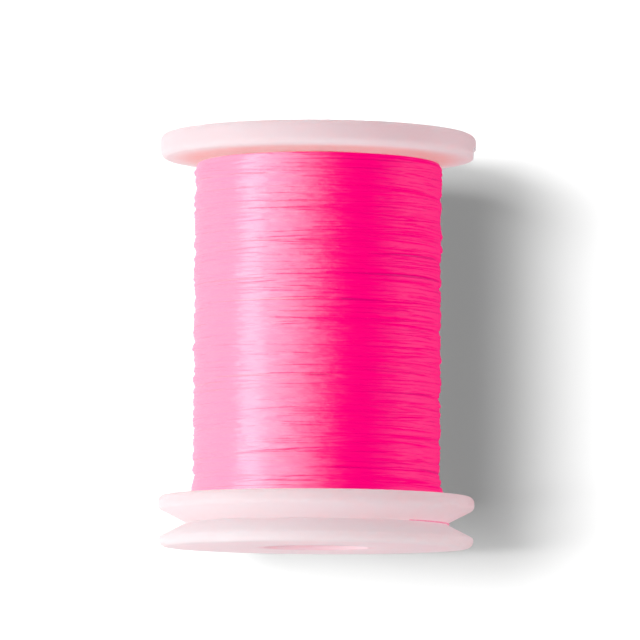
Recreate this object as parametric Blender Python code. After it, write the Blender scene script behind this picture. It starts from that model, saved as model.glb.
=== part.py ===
"""Snap spool of fly-tying thread, standing on its snap cap with its axis along +Z.

One moulding makes the barrel and the two flanges that hold the winding. A second moulding, the snap cap,
plugs into the barrel from below. The cap and the base flange close on each other along a ring, and the
V-groove between their cones pinches the thread's free end. The cap slides down to let the thread go.
The origin is the centre of the cap's resting face.
"""

import math

import bmesh
import bpy
from mathutils import Vector

MM = 0.001

# Facets and clearances
SIDES = 64
ARC_STEPS = 4
TOUCH_GAP = 0.03 * MM  # between two faces that rest on each other
SLIDE_GAP = 0.07 * MM  # between the cap's hub and the barrel

# Overall size
FLANGE_R = 11.0 * MM
CAP_R = 10.93 * MM
BORE_R = 3.5 * MM

# Heights, stacked from the resting face up
CAP_H = 1.65 * MM
BASE_FLANGE_H = 1.9 * MM
WINDING_SPACE_H = 23.55 * MM
TOP_FLANGE_H = 1.65 * MM

# The groove that pinches the thread
GROOVE_R = 9.05 * MM
GROOVE_SLOPE = math.tan(math.radians(27))
LAND_W = 0.85 * MM
RELIEF_DEPTH = 0.25 * MM

# Edge radii
TOP_FLANGE_EDGE = 0.45 * MM
BASE_FLANGE_EDGE = 0.45 * MM
CAP_LOWER_EDGE = 0.5 * MM
CAP_UPPER_EDGE = 0.18 * MM
ROOT_FILLET = 0.25 * MM
BORE_EDGE = 0.2 * MM

# Barrel
BARREL_R = 5.5 * MM
BARREL_BORE_R = 4.35 * MM
TOP_RECESS_IN_R = 5.2 * MM
TOP_RECESS_OUT_R = 9.4 * MM
TOP_RECESS_DEPTH = 0.2 * MM

# Flat on the lower half of the top flange's rim where the moulding gate was trimmed
GATE_DEPTH = 0.19 * MM
GATE_W = 4.6 * MM
GATE_H = 0.7 * MM

# Snap cap hub and its four fingers
HUB_TOP_H = 7.9 * MM
BARB_LOW_H = 6.3 * MM
BARB_REACH = 0.3 * MM
BARB_BAND = 0.35 * MM
FINGER_SLOT_W = 0.8 * MM
FINGER_ROOT_H = 2.6 * MM
CAP_TRAVEL = 1.2 * MM

# Winding
WINDING_R = 8.6 * MM
WINDING_FLARE = 0.15 * MM  # the pile is fuller beside the base flange
WINDING_FLARE_H = 1.3 * MM
SHOULDER_H = 0.8 * MM
SHOULDER_INSET = 0.45 * MM
CROWN_DROP = 0.3 * MM  # the pile's outer turns stop short of the top flange
WINDING_LEVELS = 9

# Thread tail
THREAD_R = 0.05 * MM
THREAD_GAP = 0.03 * MM
TAIL_POINTS = 80
TAIL_END_SCALE = 0.6
TAIL_TAPER = 0.12  # share of the tail's length over which its end is squeezed thin

# Levels worked out from the stack
BASE_UNDER_Z = CAP_H + TOUCH_GAP
WINDING_LOW_Z = CAP_H + TOUCH_GAP + BASE_FLANGE_H
WINDING_TOP_Z = WINDING_LOW_Z + WINDING_SPACE_H
TOTAL_H = WINDING_TOP_Z + TOP_FLANGE_H


def clear_scene():
    for item in list(bpy.data.objects):
        bpy.data.objects.remove(item, do_unlink=True)


def plastic(name, colour, roughness):
    """Milky polypropylene in one colour."""
    material = bpy.data.materials.new(name)
    material.use_nodes = True
    shader = material.node_tree.nodes["Principled BSDF"]
    shader.inputs["Base Color"].default_value = (*colour, 1)
    shader.inputs["Roughness"].default_value = roughness
    shader.inputs["Metallic"].default_value = 0
    return material


def fluorescent_thread(name):
    material = bpy.data.materials.new(name)
    material.use_nodes = True
    shader = material.node_tree.nodes["Principled BSDF"]
    shader.inputs["Base Color"].default_value = (1, 0.03, 0.22, 1)
    shader.inputs["Roughness"].default_value = 0.4
    shader.inputs["Metallic"].default_value = 0
    return material


def rounded(corners):
    """Closed (r, z) outline through corners given as (r, z, edge radius)."""
    outline = []
    for i, (r, z, radius) in enumerate(corners):
        corner = Vector((r, z))
        if radius == 0:
            outline.append(corner)
            continue
        back = (Vector(corners[i - 1][:2]) - corner).normalized()
        ahead = (Vector(corners[(i + 1) % len(corners)][:2]) - corner).normalized()
        half = back.angle(ahead) / 2
        centre = corner + (back + ahead).normalized() * radius / math.sin(half)
        first = (corner + back * radius / math.tan(half) - centre).normalized()
        last = (corner + ahead * radius / math.tan(half) - centre).normalized()
        outline += [centre + radius * first.slerp(last, k / ARC_STEPS) for k in range(ARC_STEPS + 1)]
    return outline


def new_object(name, data, material):
    item = bpy.data.objects.new(name, data)
    bpy.context.scene.collection.objects.link(item)
    data.materials.append(material)
    return item


def turned(name, outline, material):
    """Solid of revolution about Z from a closed (r, z) outline."""
    bm = bmesh.new()
    ring = [bm.verts.new((r, 0, z)) for r, z in outline]
    loop = [bm.edges.new(pair) for pair in zip(ring, ring[1:] + ring[:1])]
    bmesh.ops.spin(bm, geom=ring + loop, axis=(0, 0, 1), cent=(0, 0, 0), angle=math.tau, steps=SIDES)
    bmesh.ops.remove_doubles(bm, verts=bm.verts, dist=1e-7)
    bmesh.ops.recalc_face_normals(bm, faces=bm.faces)
    mesh = bpy.data.meshes.new(name)
    bm.to_mesh(mesh)
    bm.free()
    mesh.shade_smooth()
    mesh.set_sharp_from_angle(angle=math.radians(35))
    return new_object(name, mesh, material)


def cut_box(target, name, low, high):
    """Cuts the box between two corners out of the target."""
    bm = bmesh.new()
    bmesh.ops.create_cube(bm, size=1)
    for vert in bm.verts:
        vert.co = Vector(b if c > 0 else a for a, b, c in zip(low, high, vert.co))
    mesh = bpy.data.meshes.new(name)
    bm.to_mesh(mesh)
    bm.free()
    cutter = new_object(name, mesh, target.data.materials[0])
    cutter.hide_render = True
    cutter.display_type = "WIRE"
    cut = target.modifiers.new(name, "BOOLEAN")
    cut.operation = "DIFFERENCE"
    cut.object = cutter


def groove_corners():
    """The annular groove inside the barrel in which the cap's barbs travel, from its top end down."""
    depth_r = BARREL_BORE_R + BARB_REACH + SLIDE_GAP
    slope_h = depth_r - BARREL_BORE_R
    top_z = BARB_LOW_H + BARB_REACH + BARB_BAND + BARB_REACH + SLIDE_GAP
    low_z = BARB_LOW_H - CAP_TRAVEL - SLIDE_GAP
    return [
        (BARREL_BORE_R, top_z + slope_h, 0),
        (depth_r, top_z, 0),
        (depth_r, low_z + slope_h, 0),
        (BARREL_BORE_R, low_z, 0),
    ]


def make_spool_body(material):
    """Barrel, top flange and base flange in one moulding. The corners run outwards from the barrel's mouth."""
    rim_low_z = BASE_UNDER_Z + (FLANGE_R - GROOVE_R) * GROOVE_SLOPE
    recess_z = TOTAL_H - TOP_RECESS_DEPTH
    corners = [
        (BARREL_BORE_R + BORE_EDGE, BASE_UNDER_Z, 0),
        (GROOVE_R, BASE_UNDER_Z, 0),
        (FLANGE_R, rim_low_z, BASE_FLANGE_EDGE),
        (FLANGE_R, WINDING_LOW_Z, BASE_FLANGE_EDGE),
        (BARREL_R, WINDING_LOW_Z, 0),
        (BARREL_R, WINDING_TOP_Z, 0),
        (FLANGE_R, WINDING_TOP_Z, TOP_FLANGE_EDGE),
        (FLANGE_R, TOTAL_H, TOP_FLANGE_EDGE),
        (TOP_RECESS_OUT_R, TOTAL_H, 0),
        (TOP_RECESS_OUT_R - TOP_RECESS_DEPTH, recess_z, 0),
        (TOP_RECESS_IN_R + TOP_RECESS_DEPTH, recess_z, 0),
        (TOP_RECESS_IN_R, TOTAL_H, 0),
        (BORE_R, TOTAL_H, BORE_EDGE),
        (BORE_R, WINDING_TOP_Z, 0),
        (BARREL_BORE_R, WINDING_TOP_Z - (BARREL_BORE_R - BORE_R), 0),
        *groove_corners(),
        (BARREL_BORE_R, BASE_UNDER_Z + BORE_EDGE, 0),
    ]
    body = turned("spool_body", rounded(corners), material)
    cut_box(
        body,
        "gate_cutter",
        (FLANGE_R - GATE_DEPTH, -GATE_W / 2, WINDING_TOP_Z - TOP_FLANGE_H),
        (FLANGE_R + TOP_FLANGE_H, GATE_W / 2, WINDING_TOP_Z + GATE_H),
    )


def make_snap_cap(material):
    """Disc with a conical upper side and a split hub, whose barbed fingers snap into the barrel's groove."""
    rim_z = CAP_H - (CAP_R - GROOVE_R) * GROOVE_SLOPE
    relief_z = CAP_H - RELIEF_DEPTH
    hub_r = BARREL_BORE_R - SLIDE_GAP
    barb_r = hub_r + BARB_REACH
    barb_z = BARB_LOW_H + BARB_REACH
    corners = [
        (CAP_R, 0, CAP_LOWER_EDGE),
        (CAP_R, rim_z, CAP_UPPER_EDGE),
        (GROOVE_R, CAP_H, 0),
        (GROOVE_R - LAND_W, CAP_H, 0),
        (GROOVE_R - LAND_W - RELIEF_DEPTH, relief_z, 0),
        (hub_r + ROOT_FILLET, relief_z, 0),
        (hub_r, relief_z + ROOT_FILLET, 0),
        (hub_r, BARB_LOW_H, 0),
        (barb_r, barb_z, 0),
        (barb_r, barb_z + BARB_BAND, 0),
        (BORE_R + BORE_EDGE, HUB_TOP_H, 0),
        (BORE_R, HUB_TOP_H - BORE_EDGE, 0),
        (BORE_R, 0, BORE_EDGE),
    ]
    cap = turned("snap_cap", rounded(corners), material)
    half_w, reach = FINGER_SLOT_W / 2, BARREL_R
    low_z, high_z = FINGER_ROOT_H, HUB_TOP_H + BARB_BAND
    cut_box(cap, "slot_cutter_x", (-reach, -half_w, low_z), (reach, half_w, high_z))
    cut_box(cap, "slot_cutter_y", (-half_w, -reach, low_z), (half_w, reach, high_z))


def winding_outline():
    """Closed outline of the wound thread: a straight pile, fuller at its foot and rounded off at its shoulder."""
    low_z, top_z = WINDING_LOW_Z + TOUCH_GAP, WINDING_TOP_Z - TOUCH_GAP
    inner_r = BARREL_R + TOUCH_GAP
    outline = [(inner_r, top_z), (inner_r, low_z)]
    for k in range(WINDING_LEVELS):
        share = k / (WINDING_LEVELS - 1)
        bulge = (1 + math.cos(math.pi * share)) / 2
        outline.append((WINDING_R + WINDING_FLARE * bulge, low_z + WINDING_FLARE_H * share))
    for k in range(WINDING_LEVELS):
        turn = math.pi / 2 * k / (WINDING_LEVELS - 1)
        inset = SHOULDER_INSET * (1 - math.cos(turn))
        outline.append((WINDING_R - inset, top_z - CROWN_DROP - SHOULDER_H * (1 - math.sin(turn))))
    return outline


def on_groove_face(r):
    """Height of the thread's centre where it lies against the base flange's cone at radius r."""
    offset = (THREAD_R + THREAD_GAP) * math.hypot(1, GROOVE_SLOPE)
    return BASE_UNDER_Z + (r - GROOVE_R) * GROOVE_SLOPE - offset


def tail_route():
    """The free end's route as (azimuth in degrees, radius, height): off the winding, over the rim and into
    the groove, where it follows the bottom until it slips in between the cap and the flange."""
    reach = THREAD_R + THREAD_GAP
    winding_r = WINDING_R + WINDING_FLARE + reach
    deck_z = WINDING_LOW_Z + reach
    edge_r = FLANGE_R - BASE_FLANGE_EDGE
    edge_z = WINDING_LOW_Z - BASE_FLANGE_EDGE
    wrap = BASE_FLANGE_EDGE + reach
    groove_half = math.atan(GROOVE_SLOPE)
    bottom_r = GROOVE_R + reach / math.sin(groove_half)
    bottom_z = CAP_H + TOUCH_GAP / 2
    under_r = edge_r + wrap * math.sin(groove_half)
    route = [
        (92, winding_r, deck_z + 0.30 * MM),
        (84, winding_r + 0.02 * MM, deck_z + 0.12 * MM),
        (76, winding_r + 0.35 * MM, deck_z + 0.01 * MM),
        (66, winding_r + 1.10 * MM, deck_z),
        (59, edge_r, deck_z),
        (57, edge_r + wrap * math.sin(math.pi / 4), edge_z + wrap * math.cos(math.pi / 4)),
        (55, edge_r + wrap, edge_z - 0.10 * MM),
        (52, under_r, on_groove_face(under_r)),
        (46, GROOVE_R + 1.05 * MM, on_groove_face(GROOVE_R + 1.05 * MM)),
        (40, bottom_r + 0.12 * MM, on_groove_face(bottom_r + 0.12 * MM)),
    ]
    route += [(azimuth, bottom_r, bottom_z) for azimuth in range(34, -40, -8)]
    route.append((-46, bottom_r, bottom_z))
    return route


def smooth_points(knots, count):
    """Evenly spaced points on a Catmull-Rom curve through the knots."""
    ends = [knots[0] * 2 - knots[1], *knots, knots[-1] * 2 - knots[-2]]
    fine = []
    for a, b, c, d in zip(ends, ends[1:], ends[2:], ends[3:]):
        for k in range(24):
            t = k / 24
            bend = (2 * a - 5 * b + 4 * c - d) * t * t + (3 * b - a - 3 * c + d) * t**3
            fine.append((2 * b + (c - a) * t + bend) / 2)
    fine.append(knots[-1])
    lengths = [0]
    for a, b in zip(fine, fine[1:]):
        lengths.append(lengths[-1] + (b - a).length)
    points, i = [], 0
    for k in range(count):
        goal = lengths[-1] * k / (count - 1)
        while i < len(fine) - 2 and lengths[i + 1] < goal:
            i += 1
        points.append(fine[i].lerp(fine[i + 1], (goal - lengths[i]) / (lengths[i + 1] - lengths[i])))
    return points


def make_thread_tail(material):
    knots = []
    for azimuth, r, z in tail_route():
        angle = math.radians(azimuth)
        knots.append(Vector((r * math.cos(angle), r * math.sin(angle), z)))
    points = smooth_points(knots, TAIL_POINTS)
    curve = bpy.data.curves.new("thread_tail", "CURVE")
    curve.dimensions = "3D"
    curve.bevel_depth = THREAD_R
    curve.bevel_resolution = 2
    curve.use_fill_caps = True
    spline = curve.splines.new("POLY")
    spline.points.add(len(points) - 1)
    for k, (knot, point) in enumerate(zip(spline.points, points)):
        left = 1 - k / (len(points) - 1)
        knot.co = (*point, 1)
        knot.radius = TAIL_END_SCALE + (1 - TAIL_END_SCALE) * min(1, left / TAIL_TAPER)
    return new_object("thread_tail", curve, material)


clear_scene()
thread = fluorescent_thread("thread")
make_spool_body(plastic("body_plastic", (0.93, 0.87, 0.88), 0.35))
make_snap_cap(plastic("cap_plastic", (0.90, 0.87, 0.88), 0.35))
turned("thread_winding", winding_outline(), thread)
make_thread_tail(thread)
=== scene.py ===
"""Looks for the snap spool of fly-tying thread: milky mouldings, wound thread, stage, light, camera."""

import math

import bmesh
import bpy
import numpy as np
from mathutils import Matrix, Vector


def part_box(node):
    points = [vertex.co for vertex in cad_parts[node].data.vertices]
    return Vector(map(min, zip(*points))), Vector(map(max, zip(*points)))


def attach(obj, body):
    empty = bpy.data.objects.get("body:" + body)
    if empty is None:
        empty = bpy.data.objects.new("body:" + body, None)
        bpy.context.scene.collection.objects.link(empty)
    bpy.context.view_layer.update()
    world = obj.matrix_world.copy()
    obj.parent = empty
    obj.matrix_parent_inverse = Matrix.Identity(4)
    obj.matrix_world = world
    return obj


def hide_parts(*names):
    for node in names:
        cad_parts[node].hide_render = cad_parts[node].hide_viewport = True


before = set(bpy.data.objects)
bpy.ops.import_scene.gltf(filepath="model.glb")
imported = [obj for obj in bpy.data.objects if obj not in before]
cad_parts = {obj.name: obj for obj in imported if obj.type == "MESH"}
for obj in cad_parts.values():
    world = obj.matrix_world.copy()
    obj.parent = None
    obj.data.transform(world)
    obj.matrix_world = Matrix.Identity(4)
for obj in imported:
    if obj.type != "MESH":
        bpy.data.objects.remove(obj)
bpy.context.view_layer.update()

MM = 0.001

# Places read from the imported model
BODY_LOW, BODY_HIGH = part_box("spool_body")
CAP_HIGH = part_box("snap_cap")[1]
PILE_LOW, PILE_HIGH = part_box("thread_winding")
FLANGE_R = BODY_HIGH.x
CAP_R = CAP_HIGH.x
TOUCH_GAP = 0.03 * MM
DECK_Z = PILE_LOW.z - TOUCH_GAP
CEILING_Z = PILE_HIGH.z + TOUCH_GAP

# Moulding details, as in the CAD
SIDES = 256
ARC_STEPS = 10
BORE_R = 3.5 * MM
BARREL_R = 5.5 * MM
BARREL_BORE_R = 4.35 * MM
GROOVE_R = 9.05 * MM
GROOVE_SLOPE = math.tan(math.radians(27))
CAP_H = 1.65 * MM
LAND_W = 0.85 * MM
RELIEF_DEPTH = 0.25 * MM
TOP_EDGE = 0.45 * MM
BASE_EDGE = 0.45 * MM
CAP_LOWER_EDGE = 0.5 * MM
CAP_UPPER_EDGE = 0.18 * MM
BORE_EDGE = 0.2 * MM
RECESS_IN_R = 5.2 * MM
RECESS_OUT_R = 9.4 * MM
RECESS_DEPTH = 0.2 * MM
SOFT = 0.08 * MM
SLIDE_GAP = 0.07 * MM
BARB_LOW_Z = 6.3 * MM
BARB_REACH = 0.3 * MM
BARB_BAND = 0.35 * MM
CAP_TRAVEL = 1.2 * MM
SLOT_W = 0.8 * MM
SLOT_LOW_Z = 2.6 * MM
GATE_DEPTH = 0.19 * MM
GATE_W = 4.6 * MM
GATE_H = 0.7 * MM

# The pile of thread
PILE_R = 8.55 * MM
PILE_FLARE = 0.15 * MM
PILE_FLARE_H = 1.3 * MM
SHOULDER_H = 0.55 * MM
SHOULDER_INSET = 0.28 * MM
CROWN_DROP = 0.3 * MM
PILE_ROWS = 820
PILE_COLUMNS = 120
SEED = 11

# Slow swells of the pile's radius, as waves in a millimetre of height and waves in a turn
LUMP = 0.022 * MM
LUMP_WAVES = ((0.225, 1), (0.4, 2), (0.65, 1), (0.95, 3), (1.3, 2))

# The pile's strands, in millimetres
BED_LEVEL = -0.09  # where no strand lies
STRAND_CROWN = 0.034
COIL_HALF_W = (0.11, 0.16)
COIL_SWAY = 0.03
COIL_BOB = 0.050
COIL_SCATTER = 0.012
COIL_LAYERS = ((0.29, 1, -0.030, 1.0), (0.33, -1, -0.012, 0.75))  # pitch, way, level, share laid
CROSSING_HALF_W = (0.08, 0.13)
CROSSING_CLIMB = (0.6, 2.6)  # in a turn
CROSSING_SWAY = 0.04
CROSSING_BOB = 0.03
CROSSING_LEVEL = 0.045
CROSSING_DIVE = 0.12

# The pile's strands, in other units
CROSSINGS = 170
CROSSING_REACH = (0.5, 3.4)  # radians
# Beyond this share of a strand's half width its edge takes painted shade, up to EDGE_SHADE
EDGE_START = 0.5  # share of a strand's half width that stays bright
EDGE_SHADE = 0.75

# Colours
THREAD_DEEP = (1.0, 0.0, 0.06, 1)
THREAD_PALE = (1.0, 0.001, 0.09, 1)
# Painted shade: the dark colour put in the grooves between strands, where shadow falls
THREAD_PAINTED_SHADE = (0.3, 0.0, 0.01, 1)
# Painted glow of the thread: constant light that stands in for its fluorescence
THREAD_PAINTED_GLOW = (1.0, 0.0, 0.28, 1)
TAIL_DEEP = (0.75, 0.28, 0.42, 1)
TAIL_PALE = (0.85, 0.42, 0.55, 1)
# Painted glow of the free end, standing in for its fluorescence
TAIL_PAINTED_GLOW = (1.0, 0.05, 0.2, 1)
BODY_MILK = (0.745, 0.75, 0.775, 1)
# Pink light from the thread, painted onto the spool moulding near it
BODY_PAINTED_THREAD_LIGHT = (1.0, 0.42, 0.40, 1)
CAP_MILK = (0.715, 0.80, 0.82, 1)
# Pink light from the thread, painted onto the cap near it
CAP_PAINTED_THREAD_LIGHT = (0.95, 0.30, 0.42, 1)
# Painted glow of the plastic: the thread's light scattered inside it
MILK_PAINTED_GLOW = (1.0, 0.1, 0.2, 1)
PAPER_WHITE = 0.63


# ---------------------------------------------------------------- meshes


def rounded(corners):
    """Closed (r, z) outline through corners given as (r, z, edge radius)."""
    outline = []
    for i, (r, z, radius) in enumerate(corners):
        corner = Vector((r, z))
        if radius == 0:
            outline.append(corner)
            continue
        back = (Vector(corners[i - 1][:2]) - corner).normalized()
        ahead = (Vector(corners[(i + 1) % len(corners)][:2]) - corner).normalized()
        half = back.angle(ahead) / 2
        centre = corner + (back + ahead).normalized() * radius / math.sin(half)
        first = (corner + back * radius / math.tan(half) - centre).normalized()
        last = (corner + ahead * radius / math.tan(half) - centre).normalized()
        outline += [centre + radius * first.slerp(last, k / ARC_STEPS) for k in range(ARC_STEPS + 1)]
    return outline


def new_piece(name, mesh, material, body, slot, *nodes):
    """Links a finished mesh as a piece that rides on a body and stands for CAD nodes."""
    piece = bpy.data.objects.new(name, mesh)
    bpy.context.scene.collection.objects.link(piece)
    mesh.materials.append(material)
    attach(piece, body)
    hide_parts(*nodes)
    piece.visible_diffuse = False
    piece.visible_glossy = False
    return piece


def turned_mesh(name, outline):
    """The closed outline turned once round the Z axis."""
    bm = bmesh.new()
    ring = [bm.verts.new((r, 0, z)) for r, z in outline]
    loop = [bm.edges.new(pair) for pair in zip(ring, ring[1:] + ring[:1])]
    bmesh.ops.spin(bm, geom=ring + loop, axis=(0, 0, 1), cent=(0, 0, 0), angle=math.tau, steps=SIDES)
    bmesh.ops.remove_doubles(bm, verts=bm.verts, dist=1e-7)
    bmesh.ops.recalc_face_normals(bm, faces=bm.faces)
    mesh = bpy.data.meshes.new(name)
    bm.to_mesh(mesh)
    bm.free()
    mesh.shade_smooth()
    mesh.set_sharp_from_angle(angle=math.radians(35))
    return mesh


def cut_box(target, name, low, high):
    """Cuts the box between two corners out of a piece."""
    bm = bmesh.new()
    bmesh.ops.create_cube(bm, size=1)
    for vert in bm.verts:
        vert.co = Vector(b if c > 0 else a for a, b, c in zip(low, high, vert.co))
    mesh = bpy.data.meshes.new(name)
    bm.to_mesh(mesh)
    bm.free()
    cutter = bpy.data.objects.new(name, mesh)
    bpy.context.scene.collection.objects.link(cutter)
    cut = target.modifiers.new(name, "BOOLEAN")
    cut.operation = "DIFFERENCE"
    cut.object = cutter
    bpy.context.view_layer.objects.active = target
    bpy.ops.object.modifier_apply(modifier=name)
    bpy.data.objects.remove(cutter)


# ---------------------------------------------------------------- materials


def node(tree, kind, inputs=None, **settings):
    """Adds a node. inputs maps an input's name or number to a value or to another node's output."""
    made = tree.nodes.new(kind)
    for name, value in settings.items():
        setattr(made, name, value)
    for key, value in (inputs or {}).items():
        if isinstance(value, bpy.types.NodeSocket):
            tree.links.new(value, made.inputs[key])
        else:
            made.inputs[key].default_value = value
    return made


def principled(name, **constants):
    """A material, its node tree and its shader, whose inputs are named with underscores for spaces."""
    material = bpy.data.materials.new(name)
    material.use_nodes = True
    material.cycles.emission_sampling = "NONE"
    shader = material.node_tree.nodes["Principled BSDF"]
    for key, value in constants.items():
        shader.inputs[key.replace("_", " ")].default_value = value
    return material, material.node_tree, shader


def grain(tree, per_mm, detail=2.0, roughness=0.5):
    """Noise in the part's own space, with per_mm features a millimetre along X, Y and Z."""
    place = node(tree, "ShaderNodeTexCoord").outputs["Object"]
    scaled = node(tree, "ShaderNodeVectorMath", {0: place, 1: Vector(per_mm) / MM}, operation="MULTIPLY")
    noise = node(
        tree,
        "ShaderNodeTexNoise",
        {"Vector": scaled.outputs[0], "Scale": 1.0, "Detail": detail, "Roughness": roughness},
    )
    return noise.outputs["Fac"]


def spread(tree, value, low, high, to_low=0.0, to_high=1.0):
    """Goes smoothly from to_low to to_high as value goes from low to high."""
    ranged = node(
        tree,
        "ShaderNodeMapRange",
        {"Value": value, "From Min": low, "From Max": high, "To Min": to_low, "To Max": to_high},
        interpolation_type="SMOOTHSTEP",
    )
    return ranged.outputs["Result"]


def mixed(tree, share, first, second):
    mix = node(tree, "ShaderNodeMix", data_type="RGBA")
    for key, value in (("Factor", share), ("A", first), ("B", second)):
        socket = next(s for s in mix.inputs if s.name == key and s.enabled)
        if isinstance(value, bpy.types.NodeSocket):
            tree.links.new(value, socket)
        else:
            socket.default_value = value
    return next(s for s in mix.outputs if s.enabled)


def maths(tree, operation, first, second=0.0):
    return node(tree, "ShaderNodeMath", {0: first, 1: second}, operation=operation).outputs[0]


def bumped(tree, shader, height, strength, distance):
    bump = node(tree, "ShaderNodeBump", {"Strength": strength, "Distance": distance, "Height": height})
    tree.links.new(bump.outputs[0], shader.inputs["Normal"])


def thread_material():
    """Flat fluorescent thread. Its fibres run round the spool, so the sheen is drawn out along Z."""
    material, tree, shader = principled(
        "fluorescent_thread",
        IOR=2.0,
        Specular_IOR_Level=1.0,
        Anisotropic=0.7,
        Anisotropic_Rotation=0.25,
        # Painted glow: a constant emission stands in for the fluorescence and keeps the thread's shaded
        # side bright pink
        Emission_Color=THREAD_PAINTED_GLOW,
        Emission_Strength=0.56,
    )
    # Painted shade: the base colour darkens where strands meet and on their edges, as if in shadow
    groove = node(tree, "ShaderNodeAttribute", attribute_name="groove").outputs["Fac"]
    fibres = grain(tree, (0.25, 0.25, 14.0), detail=3.0, roughness=0.6)
    body = mixed(tree, spread(tree, fibres, 0.35, 0.65), THREAD_DEEP, THREAD_PALE)
    colour = mixed(tree, groove, body, THREAD_PAINTED_SHADE)
    tree.links.new(colour, shader.inputs["Base Color"])
    tree.links.new(spread(tree, fibres, 0.3, 0.7, 0.28, 0.34), shader.inputs["Roughness"])
    glints = grain(tree, (5.0, 5.0, 9.0), detail=2.0, roughness=0.6)
    waves = grain(tree, (1.0, 1.0, 4.0), detail=1.0)
    strands = maths(tree, "MULTIPLY", fibres, 0.25)
    fine = maths(tree, "ADD", strands, maths(tree, "MULTIPLY", glints, 0.2))
    bumped(tree, shader, maths(tree, "ADD", fine, waves), 1.0, 0.05 * MM)
    tangent = node(tree, "ShaderNodeTangent", direction_type="RADIAL", axis="Z")
    tree.links.new(tangent.outputs[0], shader.inputs["Tangent"])
    return material


def tail_material():
    """The thread's free end, paler than the pile because it is one thread thick."""
    material, tree, shader = principled(
        "single_thread",
        Roughness=0.5,
        Specular_IOR_Level=0.3,
        # Painted glow: a constant emission stands in for the thread's fluorescence
        Emission_Color=TAIL_PAINTED_GLOW,
        Emission_Strength=0.35,
    )
    fibres = grain(tree, (3.0, 3.0, 14.0), detail=3.0)
    colour = mixed(tree, spread(tree, fibres, 0.3, 0.7), TAIL_DEEP, TAIL_PALE)
    tree.links.new(colour, shader.inputs["Base Color"])
    bumped(tree, shader, fibres, 0.5, 0.01 * MM)
    return material


def painted_thread_light_share(tree):
    """How much of the thread's pink light is painted onto the plastic: most of it under the top
    flange, some in the bore's wall, a little elsewhere and none far from the thread."""
    place = node(tree, "ShaderNodeTexCoord").outputs["Object"]
    flat = node(tree, "ShaderNodeVectorMath", {0: place, 1: (1, 1, 0)}, operation="MULTIPLY").outputs[0]
    radius = node(tree, "ShaderNodeVectorMath", {0: flat}, operation="LENGTH").outputs["Value"]
    height = node(tree, "ShaderNodeSeparateXYZ", {0: place}).outputs["Z"]
    ceiling = spread(tree, radius, PILE_R - 0.3 * MM, FLANGE_R, 1.0, 0.0)
    under = spread(tree, height, CEILING_Z, CEILING_Z + 0.7 * MM, 1.0, 0.0)
    upper = spread(tree, height, CEILING_Z - 2 * MM, CEILING_Z - MM, 0.12, 1.0)
    outer = maths(tree, "MULTIPLY", maths(tree, "MULTIPLY", ceiling, under), upper)
    inner = spread(tree, radius, BORE_R, BORE_R + 1.2 * MM, 0.4, 0.0)
    return maths(tree, "MAXIMUM", outer, inner)


def milky_plastic(name, milk, painted_thread_light):
    """Translucent polypropylene, with the thread's pink light painted into its colour near the thread."""
    material, tree, shader = principled(
        name,
        Subsurface_Weight=1.0,
        Subsurface_Radius=(1.0, 0.65, 0.65),
        Subsurface_Scale=4.0 * MM,
        IOR=1.49,
        Specular_IOR_Level=0.35,
        # Painted glow: a faint constant pink emission stands in for the thread's light scattered through
        # the plastic and lifts its shaded side
        Emission_Color=MILK_PAINTED_GLOW,
        Emission_Strength=0.19,
    )
    cloud = spread(tree, grain(tree, (0.25, 0.25, 0.4), detail=2.0), 0.2, 0.8, 0.85, 1.0)
    # Painted light: the thread's pink light on the plastic is mixed into the base colour
    share = maths(tree, "MULTIPLY", painted_thread_light_share(tree), cloud)
    tree.links.new(mixed(tree, share, milk, painted_thread_light), shader.inputs["Base Color"])
    haze = grain(tree, (1.2, 1.2, 1.2), detail=4.0)
    tree.links.new(spread(tree, haze, 0.3, 0.7, 0.36, 0.46), shader.inputs["Roughness"])
    bumped(tree, shader, haze, 0.12, 0.02 * MM)
    return material


# ---------------------------------------------------------------- mouldings


def barrel_groove():
    """Corners of the groove inside the barrel that the cap's barbs run in, from its top down."""
    depth_r = BARREL_BORE_R + BARB_REACH + SLIDE_GAP
    slope_h = depth_r - BARREL_BORE_R
    top_z = BARB_LOW_Z + 2 * BARB_REACH + BARB_BAND + SLIDE_GAP
    low_z = BARB_LOW_Z - CAP_TRAVEL - SLIDE_GAP
    return [
        (BARREL_BORE_R, top_z + slope_h, 0),
        (depth_r, top_z, 0),
        (depth_r, low_z + slope_h, 0),
        (BARREL_BORE_R, low_z, 0),
    ]


def make_spool_moulding(material):
    rim_low_z = BODY_LOW.z + (FLANGE_R - GROOVE_R) * GROOVE_SLOPE
    top_z = BODY_HIGH.z
    corners = [
        (BARREL_BORE_R + BORE_EDGE, BODY_LOW.z, 0),
        (GROOVE_R, BODY_LOW.z, SOFT / 2),
        (FLANGE_R, rim_low_z, BASE_EDGE),
        (FLANGE_R, DECK_Z, BASE_EDGE),
        (BARREL_R, DECK_Z, 0),
        (BARREL_R, CEILING_Z, 0),
        (FLANGE_R, CEILING_Z, TOP_EDGE),
        (FLANGE_R, top_z, TOP_EDGE),
        (RECESS_OUT_R, top_z, SOFT),
        (RECESS_OUT_R - RECESS_DEPTH, top_z - RECESS_DEPTH, SOFT),
        (RECESS_IN_R + RECESS_DEPTH, top_z - RECESS_DEPTH, SOFT),
        (RECESS_IN_R, top_z, SOFT),
        (BORE_R, top_z, BORE_EDGE),
        (BORE_R, CEILING_Z, 0),
        (BARREL_BORE_R, CEILING_Z - (BARREL_BORE_R - BORE_R), 0),
        *barrel_groove(),
        (BARREL_BORE_R, BODY_LOW.z + BORE_EDGE, 0),
    ]
    mesh = turned_mesh("spool_moulding", rounded(corners))
    piece = new_piece("spool_moulding", mesh, material, "spool", "body_plastic", "spool_body")
    gate_low = (FLANGE_R - GATE_DEPTH, -GATE_W / 2, CEILING_Z - GATE_H)
    gate_high = (FLANGE_R + GATE_H, GATE_W / 2, CEILING_Z + GATE_H)
    cut_box(piece, "gate_cutter", gate_low, gate_high)
    return piece


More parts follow.
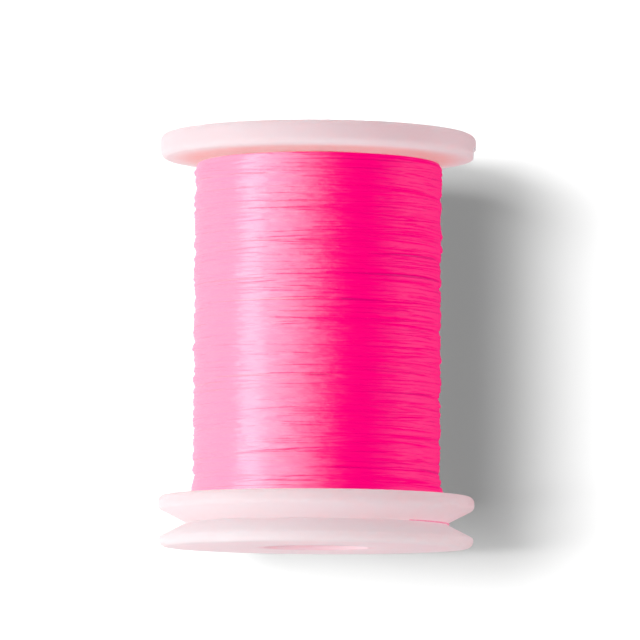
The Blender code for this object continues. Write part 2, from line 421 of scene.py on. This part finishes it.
def make_cap_moulding(material):
    rim_z = CAP_H - (CAP_R - GROOVE_R) * GROOVE_SLOPE
    relief_z = CAP_H - RELIEF_DEPTH
    hub_r = BARREL_BORE_R - SLIDE_GAP
    barb_r = hub_r + BARB_REACH
    barb_z = BARB_LOW_Z + BARB_REACH
    corners = [
        (CAP_R, 0, CAP_LOWER_EDGE),
        (CAP_R, rim_z, CAP_UPPER_EDGE),
        (GROOVE_R, CAP_H, SOFT / 2),
        (GROOVE_R - LAND_W, CAP_H, 0),
        (GROOVE_R - LAND_W - RELIEF_DEPTH, relief_z, 0),
        (hub_r, relief_z, 0),
        (hub_r, BARB_LOW_Z, 0),
        (barb_r, barb_z, 0),
        (barb_r, barb_z + BARB_BAND, 0),
        (BORE_R + BORE_EDGE, CAP_HIGH.z, 0),
        (BORE_R, CAP_HIGH.z - BORE_EDGE, 0),
        (BORE_R, 0, BORE_EDGE),
    ]
    mesh = turned_mesh("cap_moulding", rounded(corners))
    piece = new_piece("cap_moulding", mesh, material, "cap", "cap_plastic", "snap_cap")
    half_w, reach, high_z = SLOT_W / 2, BARREL_R, CAP_HIGH.z + BARB_BAND
    cut_box(piece, "slot_x", (-reach, -half_w, SLOT_LOW_Z), (reach, half_w, high_z))
    cut_box(piece, "slot_y", (-half_w, -reach, SLOT_LOW_Z), (half_w, reach, high_z))
    return piece


# ---------------------------------------------------------------- thread


def drift(rng, running, waves):
    """Smooth random sway along a strand, as the mean of a few waves over its running angle."""
    phases = rng.uniform(0, math.tau, len(waves))
    stretch = rng.uniform(0.85, 1.15, len(waves))
    return sum(np.sin(running * w * k + p) for w, k, p in zip(waves, stretch, phases)) / len(waves)


class Pile:
    """The wound surface on a grid of levels and azimuths: its height over the pile's outer shape, and in
    groove the painted shade of each point, which darkens the grooves between strands and the bed where no
    strand lies."""

    def __init__(self):
        self.z = np.linspace(PILE_LOW.z, PILE_HIGH.z - CROWN_DROP, PILE_ROWS)[:, None]
        self.theta = np.linspace(0, math.tau, PILE_COLUMNS, endpoint=False)[None, :]
        self.height = np.full((PILE_ROWS, PILE_COLUMNS), BED_LEVEL * MM)
        self.groove = np.ones((PILE_ROWS, PILE_COLUMNS))

    def lay(self, centre, half_w, level, shade):
        """Lays one flat strand where it stands proud of what is already there, and paints shade on its
        edges.
        """
        across = np.abs(self.z - centre) / half_w
        top = level + STRAND_CROWN * MM * np.sqrt(np.clip(1 - np.minimum(across, 1) ** 3, 0, 1))
        covers = (across < 1) & (top > self.height)
        self.height[covers] = top[covers]
        past = np.clip((across - EDGE_START) / (1 - EDGE_START), 0, 1)
        self.groove[covers] = (np.minimum(shade, EDGE_SHADE) * past**2)[covers]


def lay_coils(pile, rng, pitch, way, level, share):
    """A layer of close coils, wound up the pile if way is 1 and down it if way is -1. The coils that are
    left out let a lower layer show."""
    phases = rng.uniform(0, math.tau, 3)
    span = PILE_HIGH.z - PILE_LOW.z
    for turn in range(-1, int(span / pitch) + 2):
        if rng.random() > share:
            continue
        running = pile.theta + turn * math.tau
        sway = sum(np.sin(running * w + p) for w, p in zip((0.37, 0.83, 1.61), phases))
        along = pitch * running / math.tau + sway * COIL_SWAY * MM
        centre = PILE_LOW.z + along if way > 0 else PILE_HIGH.z - along
        bob = drift(rng, running, (0.6, 3.1, 9.0, 14.0))
        # How much painted shade this coil's edges take
        shade = rng.uniform(0.3, 1.0) * (0.8 + 0.8 * drift(rng, running, (2.0, 5.0)))
        here = level + (COIL_BOB * bob + rng.normal(0, COIL_SCATTER)) * MM
        pile.lay(centre, rng.uniform(*COIL_HALF_W) * MM, here, shade)


def lay_crossings(pile, rng):
    """Single strands that cross the coils at a slight angle and dive under again at both ends."""
    for _ in range(CROSSINGS):
        start = rng.uniform(0, math.tau)
        reach = rng.uniform(*CROSSING_REACH)
        climb = rng.choice((-1, 1)) * rng.uniform(*CROSSING_CLIMB) * MM / math.tau
        foot = rng.uniform(PILE_LOW.z + 0.1 * MM, PILE_HIGH.z - 0.7 * MM)
        ahead = (pile.theta - start) % math.tau
        inside = np.clip(ahead / reach, 0, 1)
        arch = np.sin(math.pi * inside) ** 0.5 - 1
        centre = foot + climb * ahead + CROSSING_SWAY * MM * drift(rng, ahead, (1.0, 2.7))
        bob = drift(rng, ahead, (3.0, 7.0, 14.0))
        level = (CROSSING_LEVEL + CROSSING_BOB * bob + CROSSING_DIVE * arch) * MM
        # The last argument is how much painted shade the crossing's edges take
        pile.lay(centre, rng.uniform(*CROSSING_HALF_W) * MM, level, rng.uniform(0.3, 1.0))


def lumps(rng, z, theta):
    """Slow swells and hollows that the winding's uneven build leaves in the pile."""
    swell = 0
    for per_mm, turns in LUMP_WAVES:
        swell = swell + np.sin(math.tau * per_mm * z / MM + turns * theta + rng.uniform(0, math.tau))
    return LUMP * swell


def pile_radius(z):
    """Radius of the pile's outer shape: fuller at its foot and rounded off at its shoulder."""
    foot = np.clip((z - PILE_LOW.z) / PILE_FLARE_H, 0, 1)
    flare = PILE_FLARE * (1 + np.cos(math.pi * foot)) / 2
    rise = np.clip((z - (PILE_HIGH.z - CROWN_DROP - SHOULDER_H)) / SHOULDER_H, 0, 1)
    inset = SHOULDER_INSET * (1 - np.sqrt(1 - rise**2))
    return PILE_R + flare - inset


def ring_mesh(name, points, groove):
    """Closed ring of quads over a grid of points. Rows run round it, and the last joins the first."""
    rows, columns = groove.shape
    here = np.arange(rows * columns).reshape(rows, columns)
    above = np.roll(here, -1, axis=0)
    quads = np.stack([here, np.roll(here, -1, axis=1), np.roll(above, -1, axis=1), above], axis=-1)
    mesh = bpy.data.meshes.new(name)
    mesh.from_pydata(points.reshape(-1, 3).tolist(), [], quads.reshape(-1, 4).tolist())
    # The groove attribute holds painted shade for the thread's colour
    painted_shade_layer = mesh.attributes.new("groove", "FLOAT", "POINT")
    painted_shade_layer.data.foreach_set("value", groove.ravel().astype(np.float32))
    mesh.shade_smooth()
    return mesh


def make_wound_thread(material):
    rng = np.random.default_rng(SEED)
    pile = Pile()
    for pitch, way, level, share in COIL_LAYERS:
        lay_coils(pile, rng, pitch * MM, way, level * MM, share)
    lay_crossings(pile, rng)
    radius = pile_radius(pile.z) + lumps(rng, pile.z, pile.theta) + pile.height
    inner = np.full((1, PILE_COLUMNS), BARREL_R + TOUCH_GAP)
    radius = np.vstack([inner, radius, inner])
    levels = np.vstack([[[PILE_LOW.z]], pile.z, [[PILE_HIGH.z]]]) + np.zeros_like(radius)
    points = np.stack([radius * np.cos(pile.theta), radius * np.sin(pile.theta), levels], axis=-1)
    # The end rows, against the flanges, take full painted shade
    ends = np.ones((1, PILE_COLUMNS))
    mesh = ring_mesh("wound_thread", points, np.vstack([ends, pile.groove, ends]))
    return new_piece("wound_thread", mesh, material, "spool", "thread", "thread_winding")


# ---------------------------------------------------------------- stage, light and camera

STAGE_REACH = 0.4
PAPER_FADE = (0.10, 0.30)
FLOOR_Z = -0.01 * MM
WALL_Y = FLANGE_R + TOUCH_GAP
CAMERA_DISTANCE = 0.46
CAMERA_HEIGHT = -20.3 * MM
CAMERA_AIM = Vector((0.19 * MM, 0, 15.88 * MM))
CAMERA_LENS = 372.5
CAMERA_ROLL = 0.36

# What the thread's sheen reflects, as azimuth and radiance. Azimuths are in degrees, 0 at the camera's
# side and growing to the right. The panels are tall and bright on the left, fade to black just right of
# the camera, and leave a dim room on the right.
SHEEN_SKY = (
    (-180, 1.0),
    (-120, 2.0),
    (-82, 2.25),
    (-75, 3.5),
    (-58, 3.5),
    (-52, 2.35),
    (-34, 2.15),
    (-21, 1.5),
    (-7, 1.05),
    (0, 0.87),
    (8, 0.55),
    (16, 0.2),
    (24, 0.03),
    (50, 0.0),
    (70, 0.15),
    (90, 0.33),
    (124, 0.2),
    (180, 0.0),
)
SHEEN_PEAK = max(radiance for _, radiance in SHEEN_SKY)

# Lamps, by azimuth and elevation in degrees, width and height, and radiance
LAMP_DISTANCE = 0.6
KEY = (-55, -8, (0.24, 0.24), 12.4)
WALL_KEY = (-34.2, 4.6, (0.50, 0.27), 18.9)
WALL_KEY_THROUGH_PLASTIC = (-34.2, 4.6, (0.30, 0.18), 19.7)
FLOOR_LIGHT = (0, 85, (0.5, 0.5), 7.0)

# Soft light of a white room, as azimuth, elevation and radiance of broad lamps that throw no shadows
ROOM_LAMP_SIZE = (1.2, 1.2)
ROOM_LIGHT = (
    (-90, 0, 0.40),
    (90, 0, 0.70),
    (0, 0, 0.27),
    (180, 0, 0.54),
    (0, 90, 0.92),
    (0, -90, 1.08),
)


def one_sided_paper(name, white):
    """Matt paper seen from its front only, so that it never stands between a camera and the spool. Far
    from the spool it thins out into the white surroundings."""
    material = bpy.data.materials.new(name)
    material.use_nodes = True
    tree = material.node_tree
    paper = node(tree, "ShaderNodeBsdfDiffuse", {"Color": (white, white, white, 1)})
    clear = node(tree, "ShaderNodeBsdfTransparent")
    here = node(tree, "ShaderNodeNewGeometry").outputs
    length = node(tree, "ShaderNodeVectorMath", {0: here["Position"]}, operation="LENGTH")
    far = spread(tree, length.outputs["Value"], *PAPER_FADE)
    unseen = maths(tree, "MAXIMUM", here["Backfacing"], far)
    both = node(tree, "ShaderNodeMixShader", {0: unseen, 1: paper.outputs[0], 2: clear.outputs[0]})
    tree.links.new(both.outputs[0], tree.nodes["Material Output"].inputs["Surface"])
    return material


def make_stage_sheet(name, corners, material):
    mesh = bpy.data.meshes.new(name)
    mesh.from_pydata(corners, [], [tuple(range(len(corners)))])
    mesh.materials.append(material)
    item = bpy.data.objects.new(name, mesh)
    bpy.context.scene.collection.objects.link(item)
    item.visible_diffuse = False
    item.visible_glossy = False
    item.visible_transmission = False
    item.visible_volume_scatter = False
    item.visible_shadow = False
    return item


def make_stage():
    """The sheet that the spool stands on and the one that its rim nearly touches at the back."""
    paper = one_sided_paper("white_paper", PAPER_WHITE)
    reach = STAGE_REACH
    around = ((-reach, -reach), (reach, -reach), (reach, reach), (-reach, reach))
    floor = make_stage_sheet("floor", [(x, y, FLOOR_Z) for x, y in around], paper)
    wall = make_stage_sheet("backdrop", [(x, WALL_Y, z) for x, z in around], paper)
    return floor, wall


def sheen_panels(tree, azimuth):
    """Radiance of the panels round the spool, by azimuth."""
    share = maths(tree, "ADD", maths(tree, "MULTIPLY", azimuth, 1 / math.tau), 0.5)
    ramp = node(tree, "ShaderNodeValToRGB", {"Fac": share})
    stops = ramp.color_ramp.elements  # a new ramp has its first and last stops already
    for angle, _ in SHEEN_SKY[1:-1]:
        stops.new(angle / 360 + 0.5)
    for stop, (_, radiance) in zip(stops, SHEEN_SKY):
        level = radiance / SHEEN_PEAK
        stop.color = (level, level, level, 1)
    return maths(tree, "MULTIPLY", ramp.outputs["Color"], SHEEN_PEAK)


def sheen_fade(tree, azimuth, height):
    """1 where the panels are gone: high and low on the right, and overhead and underfoot all round."""
    steep = spread(tree, height, 0.06, 0.42)
    right = spread(tree, azimuth, math.radians(-20), math.radians(30))
    overhead = spread(tree, height, 0.8, 0.98)
    return maths(tree, "MAXIMUM", overhead, maths(tree, "MULTIPLY", steep, right))


def make_world():
    """White to the camera, black to matt surfaces, and the studio's panels to the thread's sheen."""
    world = bpy.data.worlds.new("studio")
    bpy.context.scene.world = world
    world.use_nodes = True
    world.cycles.sampling_method = "NONE"
    tree = world.node_tree
    towards = node(tree, "ShaderNodeTexCoord").outputs["Generated"]
    axes = node(tree, "ShaderNodeSeparateXYZ", {0: towards}).outputs
    azimuth = maths(tree, "ARCTAN2", axes["X"], maths(tree, "MULTIPLY", axes["Y"], -1.0))
    lost = sheen_fade(tree, azimuth, maths(tree, "ABSOLUTE", axes["Z"]))
    sheen = maths(tree, "MULTIPLY", sheen_panels(tree, azimuth), maths(tree, "SUBTRACT", 1.0, lost))
    rays = node(tree, "ShaderNodeLightPath").outputs
    glossy = maths(tree, "MULTIPLY", rays["Is Glossy Ray"], sheen)
    background = tree.nodes["Background"].inputs
    background["Color"].default_value = (1, 1, 1, 1)
    tree.links.new(maths(tree, "ADD", rays["Is Camera Ray"], glossy), background["Strength"])


def grouped(name, members):
    group = bpy.data.collections.new(name)
    for item in members:
        group.objects.link(item)
    return group


def make_softbox(name, azimuth, elevation, size, radiance, lights=(), shadows_of=()):
    """Oval area lamp aimed at the spool. It lights only the objects in lights, and only those in
    shadows_of throw shadows in it. Where either is empty, all objects do."""
    lamp = bpy.data.lights.new(name, "AREA")
    lamp.shape = "ELLIPSE"
    lamp.size, lamp.size_y = size
    lamp.energy = radiance * math.pi * math.pi / 4 * size[0] * size[1]
    lamp.cycles.use_multiple_importance_sampling = False
    item = bpy.data.objects.new(name, lamp)
    bpy.context.scene.collection.objects.link(item)
    a, e = math.radians(azimuth), math.radians(elevation)
    out = Vector((math.sin(a) * math.cos(e), -math.cos(a) * math.cos(e), math.sin(e)))
    item.location = Vector((0, 0, BODY_HIGH.z / 2)) + out * LAMP_DISTANCE
    item.rotation_euler = out.to_track_quat("Z", "Y").to_euler()
    item.visible_glossy = False
    item.visible_camera = False
    if lights:
        item.light_linking.receiver_collection = grouped(name + "_lights", lights)
    if shadows_of:
        item.light_linking.blocker_collection = grouped(name + "_shadows_of", shadows_of)
    return item


def make_room_light():
    for k, (azimuth, elevation, radiance) in enumerate(ROOM_LIGHT):
        lamp = make_softbox("room_%d" % k, azimuth, elevation, ROOM_LAMP_SIZE, radiance)
        lamp.data.use_shadow = False


def make_camera():
    camera = bpy.data.cameras.new("camera")
    camera.lens = CAMERA_LENS
    camera.clip_start = 0.01
    camera.clip_end = 10
    item = bpy.data.objects.new("camera", camera)
    bpy.context.scene.collection.objects.link(item)
    item.location = (CAMERA_AIM.x, -CAMERA_DISTANCE, CAMERA_HEIGHT)
    aim = (CAMERA_AIM - item.location).to_track_quat("-Z", "Y").to_matrix()
    item.rotation_euler = (aim @ Matrix.Rotation(math.radians(CAMERA_ROLL), 3, "Z")).to_euler()
    bpy.context.scene.camera = item


make_camera()
thread = thread_material()
moulding = make_spool_moulding(milky_plastic("body_plastic", BODY_MILK, BODY_PAINTED_THREAD_LIGHT))
cap = make_cap_moulding(milky_plastic("cap_plastic", CAP_MILK, CAP_PAINTED_THREAD_LIGHT))
wound = make_wound_thread(thread)
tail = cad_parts["thread_tail"]
tail.data.materials.clear()
tail.data.materials.append(tail_material())
floor, wall = make_stage()
make_world()
make_room_light()
make_softbox("key", *KEY, lights=(moulding, cap, wound, tail))
# Milky flanges let most of the light through to the wall, and the thread lets none
make_softbox("wall_key", *WALL_KEY, lights=(wall,))
make_softbox("wall_key_through_plastic", *WALL_KEY_THROUGH_PLASTIC, lights=(wall,), shadows_of=(wound,))
make_softbox("floor_light", *FLOOR_LIGHT, lights=(floor,))
bpy.context.scene.view_settings.view_transform = "Standard"
